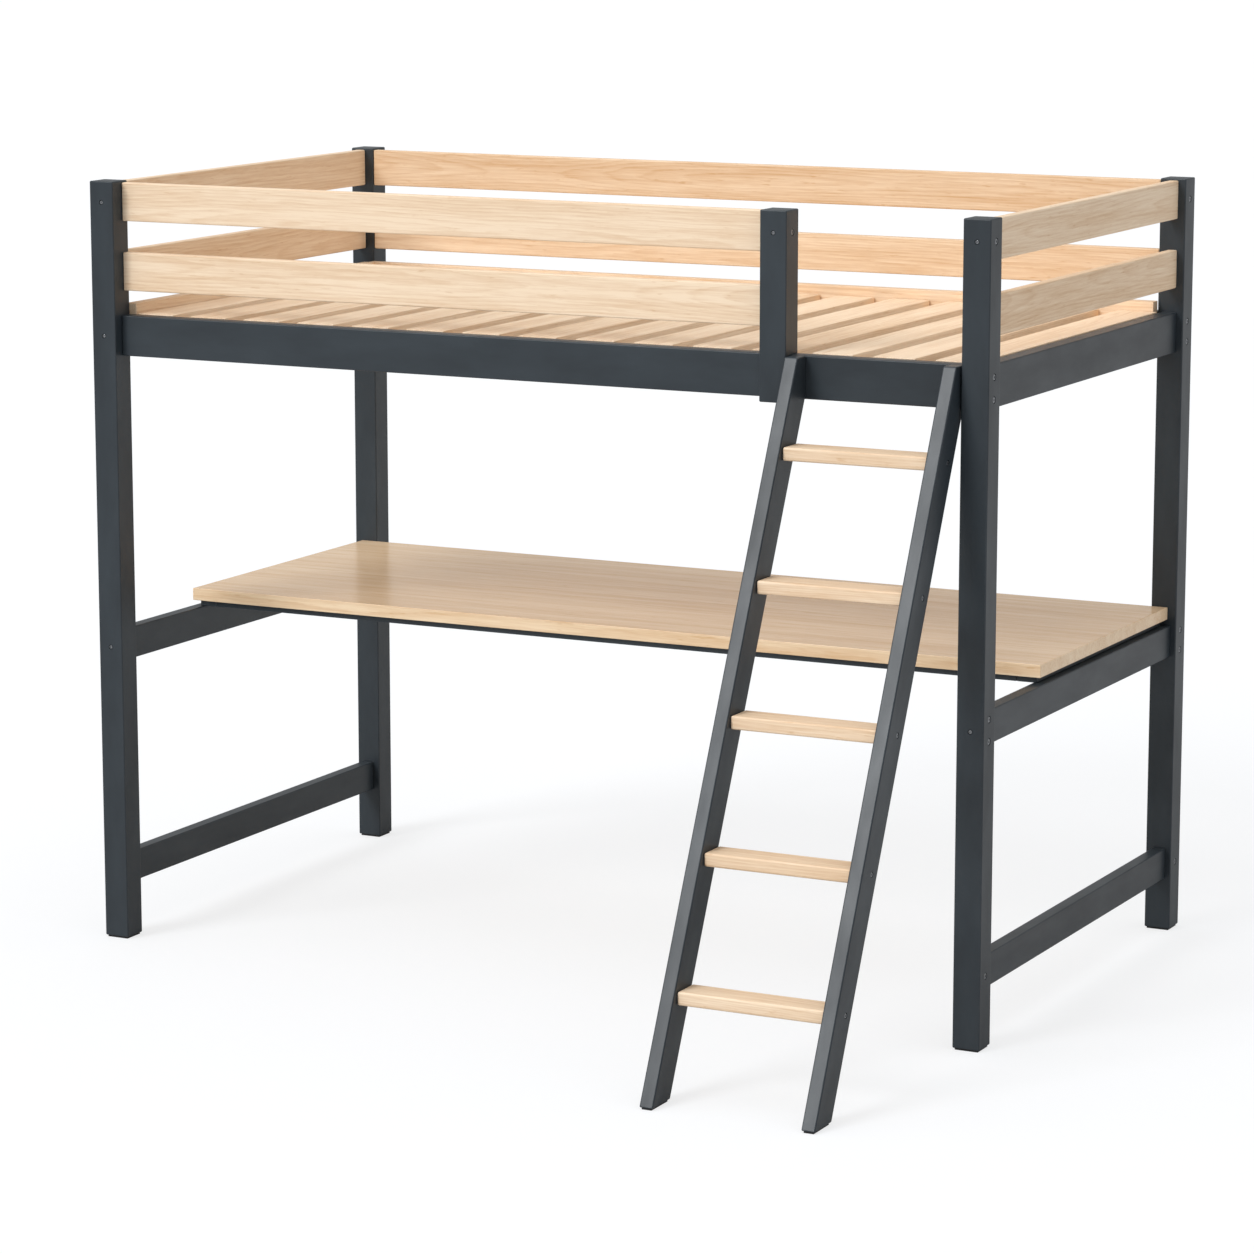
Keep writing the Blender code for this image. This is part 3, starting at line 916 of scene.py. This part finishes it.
class LOFTBED_OT_ledges(bpy.types.Operator):
    """Builds the ledges below the slats and the strips at their ends"""

    bl_idname = "loftbed.ledges"
    bl_label = "Ledges and Strips"

    def execute(self, context):
        nodes = ["slat_ledge_front", "slat_ledge_back", "edge_strip_back", "edge_strip_left"]
        make_boards("ledges", nodes, *LIGHT, context.scene.loft_bed_sizes.batten_rounding)
        return {"FINISHED"}


class LOFTBED_OT_desk(bpy.types.Operator):
    """Builds the desktop and the painted battens below it"""

    bl_idname = "loftbed.desk"
    bl_label = "Desk"

    def execute(self, context):
        sizes = context.scene.loft_bed_sizes
        rounding = sizes.desktop_rounding
        make_boards("desktop", ["desktop"], "desk_wood", "desktop_wood", rounding)
        battens = [f"desk_batten_{side}" for side in ("front", "back", "left", "right")]
        make_boards("battens", battens, *PAINTED, sizes.batten_rounding)
        return {"FINISHED"}


class LOFTBED_OT_treads(bpy.types.Operator):
    """Builds the ladder treads"""

    bl_idname = "loftbed.treads"
    bl_label = "Ladder Treads"

    def execute(self, context):
        sizes = context.scene.loft_bed_sizes
        treads = nodes_named("ladder_tread_")
        shades = dict.fromkeys(treads, TREAD_SHADE)
        rounding, shoulder = sizes.tread_rounding, sizes.tread_shoulder
        make_boards("treads", treads, *LIGHT, rounding, shoulder, shades)
        return {"FINISHED"}


class LOFTBED_OT_feet(bpy.types.Operator):
    """Builds the plastic feet under the posts and the stiles"""

    bl_idname = "loftbed.feet"
    bl_label = "Feet"

    def execute(self, context):
        sizes = context.scene.loft_bed_sizes
        feet = nodes_named("foot_") + nodes_named("ladder_foot_")

        def model(low, high):
            piece = start_box("pad", low, Vector((high.x, high.y, sizes.pad_height)))
            round_edges(piece, sizes.foot_rounding, RIM_STEPS)
            half = min(high.x - low.x, high.y - low.y) / 2
            shoulder = half - sizes.foot_rounding - sizes.spigot / 2
            rise = high.z - sizes.pad_height
            return piece, [draw_out(piece, Z, shoulder, rise, sizes.spigot)]

        def complete(piece, node, number):
            finish(piece, [node], "foot_plastic", look_of("foot_plastic"), cut=number)

        repeat(feet, model, complete)
        return {"FINISHED"}


class LOFTBED_OT_posts(bpy.types.Operator):
    """Builds the four corner posts and the guard post, with their mortises and fasteners"""

    bl_idname = "loftbed.posts"
    bl_label = "Posts"

    def execute(self, context):
        sizes = context.scene.loft_bed_sizes
        posts = ["post_front_left", "post_front_right", "post_back_left", "post_back_right"]

        def model(low, high):
            piece = start_box("post", low, high)
            round_edges(piece, sizes.post_rounding, sizes.rounding_steps)
            return piece, []

        def complete(piece, node, number):
            places = list(post_fasteners(node))
            cutters = mortise_cutters(piece) + recess_cutters(places)
            if node == "guard_post":
                cutters.append(guard_post_notch(*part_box(node)))
            subtract(piece, cutters)
            cut, paint = FIRST_CUT["posts"] + number, look_of("charcoal_paint")
            finish(piece, [node], "charcoal_paint", paint, Z, X, cut)
            fasten(node, places)

        repeat(posts + ["guard_post"], model, complete, "_square")
        return {"FINISHED"}


def guard_post_notch(low, high):
    """Room for the front side rail behind the guard post's tongue."""
    fit = bpy.context.scene.loft_bed_sizes.fit
    rail_low, rail_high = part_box("side_rail_front")
    spare = (high.x - low.x) / 4
    notch_low = Vector((low.x - spare, rail_low.y - fit, low.z - spare))
    notch_high = Vector((high.x + spare, high.y + spare, rail_high.z + fit))
    return start_box("notch", notch_low, notch_high)


class LOFTBED_OT_stiles(bpy.types.Operator):
    """Builds the two leaning ladder stiles, with their mortises and fasteners"""

    bl_idname = "loftbed.stiles"
    bl_label = "Ladder Stiles"

    def execute(self, context):
        lean = stile_lean(*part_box("ladder_stile_left"))
        along = Vector((0, math.sin(lean), math.cos(lean)))

        def complete(piece, node, number):
            places = list(stile_fasteners(node))
            cutters = mortise_cutters(piece) + recess_cutters(places)
            subtract(piece, cutters + ladder_bolt_cutters(node))
            cut, paint = FIRST_CUT["stiles"] + number, look_of("charcoal_paint")
            finish(piece, [node], "charcoal_paint", paint, along, X, cut)
            fasten(node, places)

        repeat(nodes_named("ladder_stile_"), leaning_stile, complete, "_beam")
        return {"FINISHED"}


def stile_lean(low, high):
    """How far a stile leans back from upright."""
    front_top = high.y - bpy.context.scene.loft_bed_sizes.stile_landing
    return math.atan2(front_top - low.y, high.z - low.z)


def leaning_stile(low, high):
    """A stile cut level at its foot and top, and upright where it meets the side rail."""
    sizes = bpy.context.scene.loft_bed_sizes
    lean = stile_lean(low, high)
    back = Vector((0, math.cos(lean), -math.sin(lean)))
    front_middle = (low + high - Y * sizes.stile_landing) / 2
    half = Vector((high.x - low.x, sizes.stile_depth, (high - low).length * BEAM_SPARE)) / 2
    piece = start_box("beam", -half, half)
    piece.rotation_euler = (-lean, 0, 0)
    piece.location = front_middle + back * sizes.stile_depth / 2
    only(piece)
    bpy.ops.object.transform_apply(location=True, rotation=True, scale=True)
    edit(piece)
    for place, outward in ((low, -Z), (high, Z), (high, Y)):
        bpy.ops.mesh.select_all(action="SELECT")
        bpy.ops.mesh.bisect(plane_co=place, plane_no=outward, use_fill=True, clear_outer=True)
    leave_edit()
    round_edges(piece, sizes.stile_rounding, sizes.rounding_steps)
    return piece, []


def ladder_bolt_cutters(stile=None):
    """A round hole for the shaft of each ladder bolt, in the rail or in one stile."""
    sizes = bpy.context.scene.loft_bed_sizes
    cutters = []
    for side in ("left", "right"):
        if stile and not stile.endswith(side):
            continue
        low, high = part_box("ladder_bolt_" + side)
        middle = (low + high) / 2
        start = Vector((middle.x, high.y - sizes.ladder_bolt_head, middle.z))
        reach = start.y - low.y + sizes.fit
        cutter = start_disc("bolt_hole", sizes.ladder_bolt_shaft + sizes.fit, 0, reach)
        cutters.append(point_along(cutter, start, -Y))
    return cutters


class LOFTBED_OT_ladder_bolts(bpy.types.Operator):
    """Builds the two bolts that hold the ladder to the side rail"""

    bl_idname = "loftbed.ladder_bolts"
    bl_label = "Ladder Bolts"

    def execute(self, context):
        steel = look_of("fastener_steel")
        repeat(
            nodes_named("ladder_bolt_"),
            ladder_bolt,
            lambda piece, node, number: finish(piece, [node], "hardware", steel, Y, Z),
            "_socket_head",
        )
        return {"FINISHED"}


def ladder_bolt(low, high):
    """A round head with a hexagonal socket, and its plain shaft."""
    sizes = bpy.context.scene.loft_bed_sizes
    radius = (high.z - low.z) / 2
    piece = start_disc("bolt", radius, -sizes.ladder_bolt_head, 0)
    round_edges(piece, radius * BOLT_RIM, sizes.rounding_steps, above(0))
    edit(piece)
    pick(piece, "FACE", facing(-Z, sizes.ladder_bolt_head))
    bpy.ops.mesh.inset(thickness=radius - sizes.ladder_bolt_shaft)
    shaft = high.y - low.y - sizes.ladder_bolt_head
    bpy.ops.mesh.extrude_region_move(TRANSFORM_OT_translate={"value": -Z * shaft})
    leave_edit()
    cut_socket(piece, radius, 0, sizes.ladder_bolt_head)
    point_along(piece, Vector(((low.x + high.x) / 2, high.y, (low.z + high.z) / 2)), Y)
    return piece, []


class LOFTBED_OT_stage(bpy.types.Operator):
    """Sets up the pale floor, the soft light and the camera"""

    bl_idname = "loftbed.stage"
    bl_label = "Stage"

    def execute(self, context):
        studio = context.scene.loft_bed_studio
        bpy.ops.object.select_all(action="DESELECT")
        bpy.ops.mesh.primitive_plane_add(size=FLOOR_SIDE, location=(0, 0, 0))
        floor = take_name(context.object, "floor")
        floor.data.materials.append(pale_floor())
        add_sun("key_light", studio.key, studio.key_spread, Vector(studio.key_from))
        add_sun("top_light", studio.top, studio.top_spread, Z)
        add_sky(studio.sky)
        add_camera(studio)
        context.scene.view_settings.view_transform = "Standard"
        return {"FINISHED"}


def pale_floor():
    """A matt floor that reads as white where nothing shades it."""
    recipe = new_recipe("pale_floor")
    recipe.set_shader(Base_Color=FLOOR_BOUNCE, Roughness=1.0, Specular_IOR_Level=0.0)
    glow = recipe.node("ShaderNodeEmission", None, {"Color": WHITE, "Strength": FLOOR_GLOW})
    matt = recipe.node("ShaderNodeBsdfDiffuse", None, {"Color": FLOOR_SHADE})
    sockets = {"Shader": matt.outputs[0], "Shader_001": glow.outputs[0]}
    recipe.show(recipe.node("ShaderNodeAddShader", None, sockets).outputs[0])
    return recipe.owner


def add_sun(name, strength, spread, source):
    """A wide soft light that shines on everything from one direction."""
    bpy.ops.object.light_add(type="SUN", location=(0, 0, LIGHT_HEIGHT))
    light = take_name(bpy.context.object, name)
    light.data.energy = strength
    light.data.angle = spread
    light.rotation_mode = "QUATERNION"
    light.rotation_quaternion = source.to_track_quat("Z", "Y")


def add_sky(strength):
    """An even pale sky that lights softly and reads as white behind the bed."""
    world = bpy.data.worlds.new("pale_sky")
    bpy.context.scene.world = world
    recipe = Recipe(world, "Background", "World Output")
    recipe.set_shader(Color=WHITE, Strength=strength)
    recipe.show(recipe.node("ShaderNodeBackground", None, {"Color": WHITE}).outputs[0])


def add_camera(studio):
    bpy.ops.object.camera_add(
        location=studio.stand, rotation=(math.pi / 2 - studio.dip, 0, studio.turn)
    )
    camera = take_name(bpy.context.object, "camera")
    camera.data.lens = studio.lens
    bpy.context.scene.camera = camera


class LOFTBED_PT_panel(bpy.types.Panel):
    """Lists the builders in the sidebar"""

    bl_idname = "LOFTBED_PT_panel"
    bl_label = "Loft Bed"
    bl_space_type = "VIEW_3D"
    bl_region_type = "UI"
    bl_category = "Loft Bed"

    def draw(self, context):
        for builder in BUILDERS:
            self.layout.operator(builder.bl_idname)


BUILDERS = (
    LOFTBED_OT_bed_rails,
    LOFTBED_OT_lower_rails,
    LOFTBED_OT_guard_rails,
    LOFTBED_OT_slats,
    LOFTBED_OT_ledges,
    LOFTBED_OT_desk,
    LOFTBED_OT_treads,
    LOFTBED_OT_feet,
    LOFTBED_OT_posts,
    LOFTBED_OT_stiles,
    LOFTBED_OT_ladder_bolts,
    LOFTBED_OT_stage,
)
SETTINGS = {
    "loft_bed_sizes": LoftBedSizes,
    "loft_bed_finishes": LoftBedFinishes,
    "loft_bed_studio": LoftBedStudio,
}


def register():
    for name, group in SETTINGS.items():
        bpy.utils.register_class(group)
        setattr(bpy.types.Scene, name, PointerProperty(type=group))
    for item in (*BUILDERS, LOFTBED_PT_panel):
        bpy.utils.register_class(item)


def unregister():
    for item in reversed((*BUILDERS, LOFTBED_PT_panel)):
        bpy.utils.unregister_class(item)
    for name, group in SETTINGS.items():
        delattr(bpy.types.Scene, name)
        bpy.utils.unregister_class(group)


def main():
    register()
    bpy.ops.loftbed.bed_rails()
    bpy.ops.loftbed.lower_rails()
    bpy.ops.loftbed.guard_rails()
    bpy.ops.loftbed.slats()
    bpy.ops.loftbed.ledges()
    bpy.ops.loftbed.desk()
    bpy.ops.loftbed.treads()
    bpy.ops.loftbed.feet()
    bpy.ops.loftbed.posts()
    bpy.ops.loftbed.stiles()
    bpy.ops.loftbed.ladder_bolts()
    bpy.ops.loftbed.stage()


if __name__ == "__main__":
    main()
